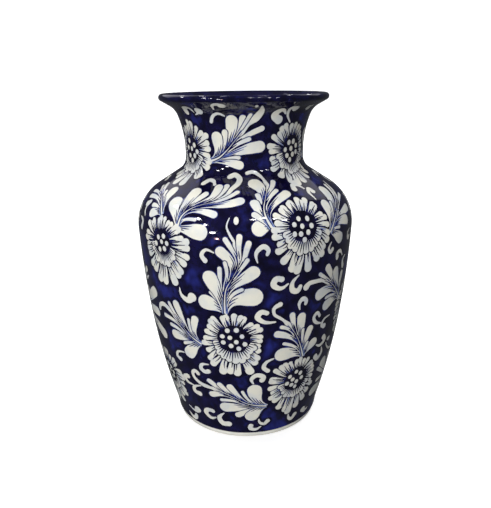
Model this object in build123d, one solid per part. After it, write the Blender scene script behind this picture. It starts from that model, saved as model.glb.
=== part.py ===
from build123d import *
import math
import os

# Hand-painted baluster vase: thrown clay body, collar and foot ring under a skin of glaze.
#
# Every piece is a ring or bowl turned about the Z axis. The origin is on the standing
# surface, at the middle of the foot. Millimetres, +Z up.

# Overall sizes
HEIGHT = 300.0  # standing surface to the crest of the lip
BELLY_RADIUS = 97.0  # widest outside radius
THROAT_RADIUS = 52.1  # narrowest outside radius of the neck
LIP_OVERHANG = 21.3  # how far the lip stands out past the throat

# Foot
FOOT_RADIUS = 66.4  # outside of the glazed foot ring
FOOT_RING_WIDTH = 11.0
FOOT_RING_HEIGHT = 4.5
FOOT_RING_ROUND = 1.0  # rounding of the ring's two bottom edges
UNGLAZED_RIM = 1.2  # height that is wiped clean of glaze above the standing surface
HEEL_OVERHANG = 1.8  # how far the wall stands out past the foot ring
HEEL_ROUND = 1.5  # rounding of the wall's lowest outside edge

# Wall between the foot and the shoulder; a lean is the slope away from vertical
HEEL_LEAN = 7.5  # degrees, just above the foot ring
HEEL_HOLLOW_RADIUS = 88.0  # slight hollow above the foot ring
LOWER_WALL_LEAN = 16.2  # degrees, where the hollow ends and the wall begins
UPPER_WALL_LEAN = 2.5  # degrees, where the wall runs into the shoulder

# Shoulder and neck
SHOULDER_RADIUS = 40.6
SHOULDER_PITCH = 57.5  # degrees, how far the shoulder turns in before the neck
NECK_FILLET_RADIUS = 13.3
THROAT_LENGTH = 6.0  # straight cylindrical stretch at the narrowest place
FLARE_RADIUS = 81.8
FLARE_LEAN = 21.2  # degrees, where the flare tightens into the lip
LIP_HOLLOW_RADIUS = 16.1
LIP_LEAN = 60.4  # degrees, the straight underside of the lip

# Thicknesses
WALL = 6.0  # clay with its glaze on both faces
FLOOR = 8.0  # clay with the glaze on its upper face
GLAZE = 0.5

STANDING = (Align.CENTER, Align.CENTER, Align.MIN)


def direction(angle):
    """Outward direction in the (radius, height) plane, in degrees above horizontal."""
    return Vector(math.cos(math.radians(angle)), 0, math.sin(math.radians(angle)))


class Arc:
    """One arc of an outline, walked upward from angle start to angle end.

    The angles are those of the outward direction. The radius is positive where the
    wall bulges and negative where it is hollow, so an inset is always subtracted.
    """

    def __init__(self, centre, radius, start, end):
        self.centre, self.radius, self.start, self.end = centre, radius, start, end

    def at(self, angle, inset=0.0):
        return self.centre + direction(angle) * (self.radius - inset)


def arc_after(point, radius, start, end):
    """The arc that leaves a point of the outline."""
    return Arc(point - direction(start) * radius, radius, start, end)


def wall_arcs(low_point, low_angle, high_point, high_angle):
    """Two arcs that join two points of the outline smoothly."""
    low_way = direction(low_angle + 90)
    high_way = direction(high_angle + 90)
    span = high_point - low_point
    along = span.dot(low_way + high_way)
    turn = 2 * (1 - low_way.dot(high_way))
    reach = (math.sqrt(along**2 + turn * span.dot(span)) - along) / turn
    joint = (low_point + high_point + (low_way - high_way) * reach) * 0.5
    low_chord = joint - low_point
    high_chord = high_point - joint
    low_radius = -low_chord.dot(low_chord) / (2 * low_chord.dot(direction(low_angle)))
    high_radius = high_chord.dot(high_chord) / (2 * high_chord.dot(direction(high_angle)))
    way = low_chord.normalized()
    chord_angle = math.degrees(math.atan2(way.Z, way.X)) - 90
    joint_angle = 2 * chord_angle - low_angle
    lower = arc_after(low_point, low_radius, low_angle, joint_angle)
    return [lower, arc_after(lower.at(joint_angle), high_radius, joint_angle, high_angle)]


def foot_arcs():
    """Rounded lowest edge and the slight hollow above it."""
    edge = Arc(
        Vector(FOOT_RADIUS + HEEL_OVERHANG - HEEL_ROUND, 0, FOOT_RING_HEIGHT + HEEL_ROUND),
        HEEL_ROUND,
        -90,
        -HEEL_LEAN,
    )
    hollow = arc_after(edge.at(-HEEL_LEAN), -HEEL_HOLLOW_RADIUS, -HEEL_LEAN, -LOWER_WALL_LEAN)
    return [edge, hollow]


def neck_arcs():
    """Neck fillet, flare, lip hollow and the rounded lip, hung from the crest."""
    lean, flare_lean = math.radians(LIP_LEAN), math.radians(FLARE_LEAN)
    tip_radius = WALL / 2
    lip_run = (
        LIP_OVERHANG
        - FLARE_RADIUS * (1 - math.cos(flare_lean))
        - LIP_HOLLOW_RADIUS * (math.cos(flare_lean) - math.cos(lean))
        - tip_radius * (1 - math.cos(lean))
    ) / math.sin(lean)
    rise = (
        FLARE_RADIUS * math.sin(flare_lean)
        + LIP_HOLLOW_RADIUS * (math.sin(lean) - math.sin(flare_lean))
        + lip_run * math.cos(lean)
        + tip_radius * (1 + math.sin(lean))
    )
    throat_top = Vector(THROAT_RADIUS, 0, HEIGHT - rise)
    throat_bottom = throat_top - Vector(0, 0, THROAT_LENGTH)
    centre = throat_bottom + direction(0) * NECK_FILLET_RADIUS
    neck_fillet = Arc(centre, -NECK_FILLET_RADIUS, SHOULDER_PITCH, 0)
    flare = arc_after(throat_top, -FLARE_RADIUS, 0, -FLARE_LEAN)
    hollow = arc_after(flare.at(-FLARE_LEAN), -LIP_HOLLOW_RADIUS, -FLARE_LEAN, -LIP_LEAN)
    lip_start = hollow.at(-LIP_LEAN) + direction(90 - LIP_LEAN) * lip_run
    tip = arc_after(lip_start, tip_radius, -LIP_LEAN, 180 - LIP_LEAN)
    return [neck_fillet, flare, hollow, tip]


def shoulder_arc(neck_fillet):
    """Shoulder, one straight run below the neck fillet."""
    pitch = math.radians(SHOULDER_PITCH)
    arc_step = (SHOULDER_RADIUS + NECK_FILLET_RADIUS) * (1 - math.cos(pitch))
    run = (BELLY_RADIUS - THROAT_RADIUS - arc_step) / math.sin(pitch)
    top = neck_fillet.at(SHOULDER_PITCH) - direction(SHOULDER_PITCH + 90) * run
    centre = top - direction(SHOULDER_PITCH) * SHOULDER_RADIUS
    return Arc(centre, SHOULDER_RADIUS, -UPPER_WALL_LEAN, SHOULDER_PITCH)


def heel_arc(wall):
    """Arc from the floor to the wall, true at the inside surface."""
    floor_top = FOOT_RING_HEIGHT + FLOOR
    wall_start = wall.at(wall.start, WALL)
    radius = (wall_start.Z - floor_top) / (1 + math.sin(math.radians(wall.start)))
    return Arc(wall_start - direction(wall.start) * radius, radius + WALL, -90, wall.start)


def outline(arcs, inset):
    """Edges along the arcs, with a straight edge wherever one arc stops short of the next."""
    edges = []
    for arc in arcs:
        points = [arc.at(angle, inset) for angle in (arc.start, (arc.start + arc.end) / 2, arc.end)]
        if edges and (points[0] - edges[-1] @ 1).length > 1e-6:
            edges.append(Line(edges[-1] @ 1, points[0]))
        edges.append(ThreePointArc(*points))
    return edges


def backwards(edges):
    """The same edges walked the other way."""
    turned = []
    for edge in reversed(edges):
        if edge.geom_type == GeomType.LINE:
            turned.append(Line(edge @ 1, edge @ 0))
        else:
            turned.append(ThreePointArc(edge @ 1, edge @ 0.5, edge @ 0))
    return turned


def turned_solid(edges):
    """Ring or bowl: the edges, closed by straight lines, turned about the Z axis."""
    closed = []
    for edge, following in zip(edges, edges[1:] + edges[:1]):
        closed.append(edge)
        if (edge @ 1 - following @ 0).length > 1e-6:
            closed.append(Line(edge @ 1, following @ 0))
    return revolve(Face(Wire(closed)), Axis.Z, 360)


FOOT = foot_arcs()
NECK = neck_arcs()
TIP = NECK[-1]
SHOULDER = shoulder_arc(NECK[0])
WALLS = wall_arcs(
    FOOT[-1].at(FOOT[-1].end), FOOT[-1].end, SHOULDER.at(SHOULDER.start), SHOULDER.start
)
HEEL = heel_arc(WALLS[0])
OUTER_CLAY = GLAZE
INNER_CLAY = WALL - GLAZE


def body_side(arcs, inset):
    """Outline of the body up to the seam, where the straight run meets the neck fillet."""
    edges = outline(arcs, inset)
    return edges + [Line(edges[-1] @ 1, NECK[0].at(NECK[0].start, inset))]


def neck_side(inset):
    """Outline of the collar from the seam to the rounded lip."""
    edges = outline(NECK[:-1], inset)
    return edges + [Line(edges[-1] @ 1, TIP.at(TIP.start, inset))]


def foot_ring():
    outer = FOOT_RADIUS - GLAZE
    ring = Cylinder(outer, FOOT_RING_HEIGHT, align=STANDING)
    ring -= Cylinder(outer - FOOT_RING_WIDTH, FOOT_RING_HEIGHT, align=STANDING)
    bottom = ring.edges().group_by(Axis.Z)[0]
    return fillet(bottom, FOOT_RING_ROUND)


def foot_glaze():
    band = FOOT_RING_HEIGHT - UNGLAZED_RIM
    coat = Cylinder(FOOT_RADIUS, band, align=STANDING)
    coat -= Cylinder(FOOT_RADIUS - GLAZE, band, align=STANDING)
    return Pos(0, 0, UNGLAZED_RIM) * coat


def body():
    """Bowl of clay from the floor to the seam below the neck."""
    outside = body_side(FOOT + WALLS + [SHOULDER], OUTER_CLAY)
    inside = body_side([HEEL] + WALLS + [SHOULDER], INNER_CLAY)
    ledge = Vector((outside[0] @ 0).X, 0, FOOT_RING_HEIGHT)
    middle = Vector(0, 0, FOOT_RING_HEIGHT)
    floor = [Line(inside[0] @ 0, Vector(0, 0, (inside[0] @ 0).Z)), Line(middle, ledge)]
    return turned_solid(outside + backwards(inside) + floor)


def neck():
    """Collar of clay with its flared lip."""
    outside = outline(NECK, OUTER_CLAY)
    inside = outline(NECK[:-1], INNER_CLAY)
    return turned_solid(outside + backwards(inside))


def body_glaze():
    """Painted coat outside the body."""
    arcs = FOOT + WALLS + [SHOULDER]
    return turned_solid(body_side(arcs, 0) + backwards(body_side(arcs, OUTER_CLAY)))


def neck_glaze():
    """Painted coat outside the collar, up to the rounded lip."""
    return turned_solid(neck_side(0) + backwards(neck_side(OUTER_CLAY)))


def lip_glaze():
    """Plain blue coat over the lip and down into its hollow."""
    outside = outline([TIP], 0) + backwards(outline([NECK[-2]], WALL))
    under = outline([TIP], OUTER_CLAY) + backwards(outline([NECK[-2]], INNER_CLAY))
    return turned_solid(outside + backwards(under))


def inside_glaze():
    """White coat from below the lip to the middle of the floor."""
    arcs = [HEEL] + WALLS + [SHOULDER] + NECK[:2]
    surface = outline(arcs, WALL)
    under = outline(arcs, INNER_CLAY)
    middle = Line((0, 0, (under[0] @ 0).Z), (0, 0, (surface[0] @ 0).Z))
    return turned_solid([middle] + surface + backwards(under))


def main():
    os.makedirs("parts", exist_ok=True)
    for make in (foot_ring, foot_glaze, body, neck, body_glaze, neck_glaze, lip_glaze, inside_glaze):
        export_step(make(), f"parts/{make.__name__}.step")


main()
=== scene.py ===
import math
import random

import bmesh
import bpy
import numpy as np
from mathutils import Matrix, Vector, kdtree
from mathutils.geometry import delaunay_2d_cdt


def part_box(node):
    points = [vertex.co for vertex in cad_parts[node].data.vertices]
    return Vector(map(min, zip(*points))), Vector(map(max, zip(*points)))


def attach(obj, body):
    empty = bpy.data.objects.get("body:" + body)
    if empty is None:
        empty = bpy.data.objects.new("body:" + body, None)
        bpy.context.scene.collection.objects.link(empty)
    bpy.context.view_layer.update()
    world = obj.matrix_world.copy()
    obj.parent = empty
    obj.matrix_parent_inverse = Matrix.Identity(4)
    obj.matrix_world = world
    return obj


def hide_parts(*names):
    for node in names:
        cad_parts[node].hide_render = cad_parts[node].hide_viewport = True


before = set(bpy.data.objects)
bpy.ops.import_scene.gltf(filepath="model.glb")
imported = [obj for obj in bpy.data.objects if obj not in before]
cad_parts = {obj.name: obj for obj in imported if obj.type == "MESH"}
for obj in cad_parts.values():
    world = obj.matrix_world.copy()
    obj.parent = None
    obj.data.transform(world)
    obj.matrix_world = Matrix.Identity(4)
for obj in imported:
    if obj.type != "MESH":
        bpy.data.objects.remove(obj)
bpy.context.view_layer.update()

MM = 0.001

# --- Outline of the vase in millimetres: the arcs of the CAD model, from foot to lip
HEIGHT = round(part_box("lip_glaze")[1].z / MM, 1)
BELLY_RADIUS = round(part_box("body_glaze")[1].x / MM, 1)
THROAT_RADIUS = 52.1
LIP_OVERHANG = 21.3
FOOT_RADIUS = 66.4
FOOT_RING_HEIGHT = 4.5
UNGLAZED_RIM = 1.2
HEEL_OVERHANG = 1.8
HEEL_ROUND = 1.5
HEEL_LEAN = 7.5
HEEL_HOLLOW_RADIUS = 88.0
LOWER_WALL_LEAN = 16.2
UPPER_WALL_LEAN = 2.5
SHOULDER_RADIUS = 40.6
SHOULDER_PITCH = 57.5
NECK_FILLET_RADIUS = 13.3
THROAT_LENGTH = 6.0
FLARE_RADIUS = 81.8
FLARE_LEAN = 21.2
LIP_HOLLOW_RADIUS = 16.1
LIP_LEAN = 60.4
WALL = 6.0
FLOOR = 8.0
GLAZE = 0.5


def direction(angle):
    """Outward direction in the (radius, height) plane, in degrees above horizontal."""
    return Vector((math.cos(math.radians(angle)), math.sin(math.radians(angle))))


class Arc:
    """One arc of the outline, walked upward; its radius is negative where the wall is hollow."""

    def __init__(self, centre, radius, start, end):
        self.centre, self.radius, self.start, self.end = centre, radius, start, end

    def at(self, angle, inset=0.0):
        return self.centre + direction(angle) * (self.radius - inset)

    def angles(self, step):
        """Angles along the arc, no more than a step in millimetres or four degrees apart."""
        turn = self.end - self.start
        length = abs(math.radians(turn) * self.radius)
        count = max(2, math.ceil(length / step), math.ceil(abs(turn) / 4))
        return [self.start + turn * k / count for k in range(count + 1)]


def arc_after(point, radius, start, end):
    return Arc(point - direction(start) * radius, radius, start, end)


def wall_arcs(low_point, low_angle, high_point, high_angle):
    """Two arcs that join two points of the outline smoothly."""
    low_way = direction(low_angle + 90)
    high_way = direction(high_angle + 90)
    span = high_point - low_point
    along = span.dot(low_way + high_way)
    turn = 2 * (1 - low_way.dot(high_way))
    reach = (math.sqrt(along**2 + turn * span.dot(span)) - along) / turn
    joint = (low_point + high_point + (low_way - high_way) * reach) * 0.5
    low_chord = joint - low_point
    high_chord = high_point - joint
    low_radius = -low_chord.dot(low_chord) / (2 * low_chord.dot(direction(low_angle)))
    high_radius = high_chord.dot(high_chord) / (2 * high_chord.dot(direction(high_angle)))
    joint_angle = 2 * (math.degrees(math.atan2(low_chord.y, low_chord.x)) - 90) - low_angle
    lower = arc_after(low_point, low_radius, low_angle, joint_angle)
    return [lower, arc_after(lower.at(joint_angle), high_radius, joint_angle, high_angle)]


def foot_arcs():
    centre = Vector((FOOT_RADIUS + HEEL_OVERHANG - HEEL_ROUND, FOOT_RING_HEIGHT + HEEL_ROUND))
    edge = Arc(centre, HEEL_ROUND, -90, -HEEL_LEAN)
    return [edge, arc_after(edge.at(-HEEL_LEAN), -HEEL_HOLLOW_RADIUS, -HEEL_LEAN, -LOWER_WALL_LEAN)]


def neck_arcs():
    """Neck fillet, flare, lip hollow and rounded lip, hung from the crest."""
    lean, flare_lean = math.radians(LIP_LEAN), math.radians(FLARE_LEAN)
    tip_radius = WALL / 2
    lip_run = (
        LIP_OVERHANG
        - FLARE_RADIUS * (1 - math.cos(flare_lean))
        - LIP_HOLLOW_RADIUS * (math.cos(flare_lean) - math.cos(lean))
        - tip_radius * (1 - math.cos(lean))
    ) / math.sin(lean)
    rise = (
        FLARE_RADIUS * math.sin(flare_lean)
        + LIP_HOLLOW_RADIUS * (math.sin(lean) - math.sin(flare_lean))
        + lip_run * math.cos(lean)
        + tip_radius * (1 + math.sin(lean))
    )
    throat_top = Vector((THROAT_RADIUS, HEIGHT - rise))
    fillet_centre = throat_top - Vector((0, THROAT_LENGTH)) + direction(0) * NECK_FILLET_RADIUS
    fillet = Arc(fillet_centre, -NECK_FILLET_RADIUS, SHOULDER_PITCH, 0)
    flare = arc_after(throat_top, -FLARE_RADIUS, 0, -FLARE_LEAN)
    hollow = arc_after(flare.at(-FLARE_LEAN), -LIP_HOLLOW_RADIUS, -FLARE_LEAN, -LIP_LEAN)
    lip_start = hollow.at(-LIP_LEAN) + direction(90 - LIP_LEAN) * lip_run
    return [fillet, flare, hollow, arc_after(lip_start, tip_radius, -LIP_LEAN, 180 - LIP_LEAN)]


def shoulder_arc(neck_fillet):
    pitch = math.radians(SHOULDER_PITCH)
    arc_step = (SHOULDER_RADIUS + NECK_FILLET_RADIUS) * (1 - math.cos(pitch))
    run = (BELLY_RADIUS - THROAT_RADIUS - arc_step) / math.sin(pitch)
    top = neck_fillet.at(SHOULDER_PITCH) - direction(SHOULDER_PITCH + 90) * run
    centre = top - direction(SHOULDER_PITCH) * SHOULDER_RADIUS
    return Arc(centre, SHOULDER_RADIUS, -UPPER_WALL_LEAN, SHOULDER_PITCH)


def heel_arc(wall):
    """Arc from the floor to the wall, true at the inside surface."""
    wall_start = wall.at(wall.start, WALL)
    rise = wall_start.y - FOOT_RING_HEIGHT - FLOOR
    radius = rise / (1 + math.sin(math.radians(wall.start)))
    return Arc(wall_start - direction(wall.start) * radius, radius + WALL, -90, wall.start)


FOOT = foot_arcs()
NECK = neck_arcs()
TIP = NECK[-1]
SHOULDER = shoulder_arc(NECK[0])
WALLS = wall_arcs(
    FOOT[-1].at(FOOT[-1].end), FOOT[-1].end, SHOULDER.at(SHOULDER.start), SHOULDER.start
)
HEEL = heel_arc(WALLS[0])


def section(arcs, inset, step=2.0):
    """Points along the arcs, at an inset from the outline."""
    return [arc.at(angle, inset) for arc in arcs for angle in arc.angles(step)]


# --- The painted skin. A place on it is an azimuth in degrees, from the front towards +X, and
# a climb in millimetres along the outline from the standing surface.
SKIN_STEP = 0.25
PAINT_GRID = 2.6  # millimetres between the skin's own points
SAG = 0.015  # how far a chord may leave the outline


class Skin:
    """The painted surface: radius, height and way of its normal at every climb."""

    def __init__(self, arcs, foot):
        points, ways = [Vector(foot)], [-90.0]
        self.rows = []
        for arc in arcs:
            for angle in arc.angles(SKIN_STEP):
                points.append(arc.at(angle))
                ways.append(angle)
        self.radius = np.array([p.x for p in points])
        self.height = np.array([p.y for p in points])
        self.way = np.radians(ways)
        steps = np.hypot(np.diff(self.radius), np.diff(self.height))
        self.climb = FOOT_RING_HEIGHT + np.concatenate([[0.0], np.cumsum(steps)])
        self.start = float(self.climb[1])
        self.end = float(self.climb[-1])
        bends = np.abs(np.diff(self.way)) / np.maximum(steps, 1e-6)
        climb = self.start
        while climb < self.end - 0.3:
            self.rows.append(climb)
            bend = float(np.interp(climb, self.climb[1:], bends))
            climb += min(PAINT_GRID, math.sqrt(8 * SAG / max(bend, 1e-6)))
        self.rows.append(self.end)

    def per_degree(self, climb):
        """Millimetres round the vase for one degree."""
        return np.interp(climb, self.climb, self.radius) * math.pi / 180

    def place(self, azimuth, climb, depth=0.0):
        """Points and outward normals, in metres, at a depth in millimetres under the surface."""
        way = np.interp(climb, self.climb, self.way)
        radius = np.interp(climb, self.climb, self.radius) - depth * np.cos(way)
        height = np.interp(climb, self.climb, self.height) - depth * np.sin(way)
        turn = np.radians(azimuth)
        points = np.stack([radius * np.sin(turn), -radius * np.cos(turn), height], axis=-1) * MM
        flat = np.cos(way)
        normals = np.stack([flat * np.sin(turn), -flat * np.cos(turn), np.sin(way)], axis=-1)
        return points, normals


TIP_START = Arc(TIP.centre, TIP.radius, -LIP_LEAN, -LIP_LEAN + 1)  # the paint ends on it
SKIN = Skin(FOOT + WALLS + [SHOULDER] + NECK[:-1] + [TIP_START], (FOOT_RADIUS, FOOT_RING_HEIGHT))


def unit_rows(vectors):
    """The same vectors, one to a row, with length one."""
    return vectors / np.maximum(np.linalg.norm(vectors, axis=1), 1e-12)[:, None]


def run_of(line):
    """Length run along a line up to each of its points."""
    return np.concatenate([[0.0], np.cumsum(np.linalg.norm(np.diff(line, axis=0), axis=1))])


def places_at(goals, run, line):
    """Places on a line at the given lengths of run."""
    return np.stack([np.interp(goals, run, line[:, k]) for k in (0, 1)], axis=-1)


def curve(points, widths, spacing):
    """A smooth line through places on the skin, with its width at each."""
    places = np.array(points, float)
    scale = float(SKIN.per_degree(places[:, 1].mean()))
    plane = places * (scale, 1.0)
    if len(plane) == 2:
        tangents = np.repeat(plane[1:] - plane[:1], 2, axis=0)
        knots = np.array([0.0, 1.0])
    else:
        chords = np.maximum(np.linalg.norm(np.diff(plane, axis=0), axis=1), 1e-3)
        knots = np.concatenate([[0.0], np.cumsum(np.sqrt(chords))])
        slopes = np.diff(plane, axis=0) / np.diff(knots)[:, None]
        share = (np.diff(knots)[1:] / (knots[2:] - knots[:-2]))[:, None]
        inner = slopes[:-1] * share + slopes[1:] * (1 - share)
        first = 1.5 * slopes[:1] - 0.5 * inner[:1]
        last = 1.5 * slopes[-1:] - 0.5 * inner[-1:]
        tangents = np.concatenate([first, inner, last])
    rows, along = [], []
    for k in range(len(plane) - 1):
        gap = knots[k + 1] - knots[k]
        chord = np.linalg.norm(plane[k + 1] - plane[k])
        count = max(2, math.ceil(chord / spacing))
        t = np.linspace(0, 1, count, endpoint=False)[:, None]
        rows.append(
            plane[k] * (2 * t**3 - 3 * t**2 + 1)
            + tangents[k] * gap * (t**3 - 2 * t**2 + t)
            + plane[k + 1] * (3 * t**2 - 2 * t**3)
            + tangents[k + 1] * gap * (t**3 - t**2)
        )
        along.append(k + t[:, 0])
    line = np.concatenate(rows + [plane[-1:]])
    along = np.concatenate(along + [[len(plane) - 1.0]])
    half = np.interp(along, np.arange(len(widths)) * (len(plane) - 1) / (len(widths) - 1), widths) / 2
    kernel = np.array([0.25, 0.5, 0.25])
    for _ in range(3):
        half[1:-1] = np.convolve(half, kernel, "valid") if len(half) > 2 else half[1:-1]
    return line, half, scale


def on_skin(shape, centre, scale):
    """Places for points of a plane figure, with offsets from its centre line in true millimetres."""
    climb = shape[:, 1]
    across = (shape[:, 0] - centre[:, 0]) / SKIN.per_degree(climb)
    return np.stack([centre[:, 0] / scale + across, climb], axis=-1)


def stroke(points, widths, spacing=1.1):
    """Outline of one brush stroke, with round ends as wide as the stroke is there."""
    line, half, scale = curve(points, widths, spacing)
    way = unit_rows(np.gradient(line, axis=0))
    side = way[:, ::-1] * (-1, 1)
    offset = side * half[:, None]

    def cap(end, sign):
        count = max(2, min(9, math.ceil(half[end] * 3.2 / spacing)))
        turns = np.linspace(90, -90, count + 1)[1:-1] * (math.pi / 180)
        run = way[end] * sign * half[end]
        reach = side[end] * sign * half[end]
        return np.cos(turns)[:, None] * run + np.sin(turns)[:, None] * reach

    tip, tail = cap(-1, 1), cap(0, -1)
    centre = np.concatenate([line, np.repeat(line[-1:], len(tip), 0), line[::-1],
                             np.repeat(line[:1], len(tail), 0)])
    edge = np.concatenate([line + offset, line[-1] + tip, (line - offset)[::-1], line[0] + tail])
    return on_skin(edge, centre, scale)


def blob(place, width, height=None, points=14, wobble=()):
    """Round or oval spot; a wobble is (lobes, share of the radius, phase in degrees)."""
    turns = np.arange(points) * 2 * math.pi / points
    reach = np.ones(points)
    for lobes, share, phase in wobble:
        reach += share * np.cos(lobes * turns + math.radians(phase))
    across = reach * np.cos(turns) * width / 2
    climb = place[1] + reach * np.sin(turns) * (height or width) / 2
    return np.stack([place[0] + across / SKIN.per_degree(climb), climb], axis=-1)


# --- Painting: shapes in the order the brush lays them; a later one covers an earlier one
PAINTED = []  # (piece, outline)
CLUSTERS = (3, 2, 3, 2, 3, 2, 2, 3, 2, 3, 2)  # outer petals that touch one another
CLUSTER_GAP = 0.3  # between two clusters, as a share of one petal's turn
WIDEST_PETAL = 7.2
INNER_PETALS = 10
INNER_START = -170  # degrees; the inner petals are half a ring below the disc
INNER_TURN = 150
INNER_OVERHANG = 6  # how far they reach past the disc at its sides


def paint(piece, outline):
    PAINTED.append((piece, outline))


def ring_reach(angle, side, top, bottom):
    """Radius of an oval with its own upper and lower height."""
    high = top if math.sin(angle) > 0 else bottom
    return 1 / math.hypot(math.cos(angle) / side, math.sin(angle) / high)


def spoke(centre, angle, distances, bend=0.0):
    """Three places on a line that leaves a flower's centre at an angle and bends a little."""
    scale = float(SKIN.per_degree(centre[1]))
    turns = [angle + bend * (k / 2)**2 for k in range(3)]
    return [(centre[0] + distance * math.cos(turn) / scale, centre[1] + distance * math.sin(turn))
            for distance, turn in zip(distances, turns)]


def petal(piece, centre, angle, root, reach, width, bend, lead):
    """One petal, narrow at the disc and round at its tip."""
    tip = max(reach - width / 2, root + 1.0)
    places = spoke(centre, angle, (root, (root + tip) / 2, tip), bend)
    paint(piece, stroke(places, [width * lead, width * 0.74, width], 1.3))


def petal_line(centre, angle, start, end, width, bend=0.0, piece="flower_lines"):
    """One brush line from the disc outwards, tapered to its end."""
    places = spoke(centre, angle, (start, (start + end) / 2, end), bend)
    paint(piece, stroke(places, [width, width * 0.75, width * 0.3], 1.6))


def petal_turns(draw):
    """One petal's turn in radians, and the angle of each outer petal.

    Also tells whether the next petal round the flower is in the same cluster."""
    unit = 2 * math.pi / (sum(CLUSTERS) + CLUSTER_GAP * len(CLUSTERS))
    angle = math.radians(96 + draw.uniform(-8, 8))
    petals = []
    for count in CLUSTERS:
        angle -= CLUSTER_GAP * unit / 2
        petals += [(angle - (k + 0.5) * unit, k < count - 1) for k in range(count)]
        angle -= (count + CLUSTER_GAP / 2) * unit
    return unit, petals


def inner_ring(centre, side, rise, ring_bottom, draw):
    """Short petals below a disc of the given half width and half height, with brush lines."""
    shares = [draw.uniform(0.88, 1.06) for _ in range(INNER_PETALS)]
    unit = math.radians(INNER_TURN) / INNER_PETALS
    first = math.radians(INNER_START)
    for coat, grow in (("flower_lines", 1.7), ("flower_petals", 0.0)):
        for k, share in enumerate(shares):
            turn = first + (k + 0.5) * unit
            reach = ring_reach(turn, side + INNER_OVERHANG, ring_bottom, ring_bottom) * share
            root = ring_reach(turn, side, rise, rise) * 0.8
            petal(coat, centre, turn, root, reach + grow / 2, unit * reach * 0.98 + grow, 0.0, 0.5)
    for k in range(1, 2 * INNER_PETALS):
        turn = first + k * unit / 2
        start = ring_reach(turn, side, rise, rise) * 0.9
        length = ring_reach(turn, side + INNER_OVERHANG, ring_bottom, ring_bottom) - start
        petal_line(centre, turn, start, start + length * draw.uniform(0.5, 0.84), 1.5)


def flower(left, right, low, high, disc, ring_low, dots, seed):
    """Daisy seen from a little above: outer petals in clusters, inner petals below the disc,
    brush lines from the disc outwards, and white dots on the disc."""
    draw = random.Random(seed)
    disc_left, disc_right, disc_low, disc_high = disc
    centre = ((disc_left + disc_right) / 2, (disc_low + disc_high) / 2)
    scale = float(SKIN.per_degree(centre[1]))
    disc_side = (disc_right - disc_left) / 2 * scale
    disc_rise = (disc_high - disc_low) / 2
    side = (right - left) / 2 * scale
    lean = ((left + right) / 2 - centre[0]) * scale
    ring_bottom = centre[1] - ring_low

    unit, petals = petal_turns(draw)
    strokes = []
    for turn, shared in petals:
        full = ring_reach(turn, side, high - centre[1], centre[1] - low) + lean * math.cos(turn)
        reach = full * draw.uniform(0.88, 1.04)
        root = ring_reach(turn, disc_side, disc_rise, disc_rise) * 0.9
        width = min(unit * full * 0.95, WIDEST_PETAL) * draw.uniform(0.9, 1.06)
        bend = draw.uniform(-0.07, 0.07)
        petal("flower_petals", centre, turn, root, reach, width, bend, 0.42)
        strokes.append((turn, shared, root, reach, bend))

    for turn, shared, root, reach, bend in strokes:
        if not shared:
            edge = turn - unit * (0.5 + CLUSTER_GAP / 2)
            gap = spoke(centre, edge, (root, (root + reach) / 2, reach * 0.82))
            paint("flower_lines", stroke(gap, [1.1, 1.3, 0.7], 1.6))
        start = root
        if math.sin(turn) < -0.2:
            start = ring_reach(turn, disc_side + 5, ring_bottom, ring_bottom) * 0.92
        length = reach - start
        if draw.random() < 0.2:
            wash_turn = turn + draw.uniform(-0.05, 0.05)
            petal_line(centre, wash_turn, start, start + length * 0.5, 1.6, piece="flower_washes")
        middle_turn = turn + draw.uniform(-0.03, 0.03)
        petal_line(centre, middle_turn, start, start + length * draw.uniform(0.4, 0.62), 1.3, bend)
        if draw.random() < 0.4:
            end = start + length * draw.uniform(0.25, 0.42)
            petal_line(centre, turn + unit * 0.24, start, end, 0.95, bend)
        far = 0.86 if shared else 0.66
        end = start + length * draw.uniform(far - 0.15, far)
        petal_line(centre, turn - unit * 0.5, start, end, 1.5, bend)

    inner_ring(centre, disc_side, disc_rise, ring_bottom, draw)
    phase = draw.uniform(0, 360)
    wobble = ((9, 0.035, phase), (5, 0.03, phase * 2))
    paint("flower_discs", blob(centre, disc_side * 2, disc_rise * 2, 44, wobble))
    for place in dots:
        paint("flower_dots", blob(place, 4.1 * draw.uniform(0.92, 1.08), 4.4 * draw.uniform(0.92, 1.08), 12))


def stem_run(stem):
    """The stem as a fine line in plane millimetres, with the length run up to each point."""
    line, _, scale = curve(stem, [1, 1], 1.0)
    return line, run_of(line), scale


LOBE_POINTS = 7
LOBE_BULB = np.array([0.14, 0.3, 0.4, 0.5, 0.67, 0.93, 1.0])  # width along a lobe, as a share of its end's
LOBE_PEEL = 2.2  # a lobe leaves the stem this many times its reach before its tip
LOBE_FOLLOW = 4.0  # and runs beside the stem this much longer, in millimetres
LOBE_BESIDE = 1.4  # gap to the stem's middle there


def lobe_line(stem, tip):
    """Centre line of a lobe: it runs beside the stem first and then peels away to its tip.

    Also tells how far along the stem it starts, and the side on which the stem's tip lies."""
    line, run, scale = stem_run(stem)
    end = np.array([tip[0] * scale, tip[1]])
    gaps = np.linalg.norm(line - end, axis=1)
    near = int(np.argmin(gaps))
    root = max(0.0, run[near] - gaps[near] * LOBE_PEEL - LOBE_FOLLOW)
    reach = end - line[near]
    t = np.linspace(0, 1, LOBE_POINTS)
    places = places_at(root + (run[near] - root) * t, run, line)
    places += reach / max(gaps[near], 1e-6) * LOBE_BESIDE * (1 - t)[:, None]
    way = line[min(near + 2, len(line) - 1)] - line[max(near - 2, 0)]
    inner = math.copysign(1.0, reach[0] * way[1] - reach[1] * way[0])
    return (places + reach * (t**1.9)[:, None]) / (scale, 1.0), root / run[-1], inner


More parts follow.
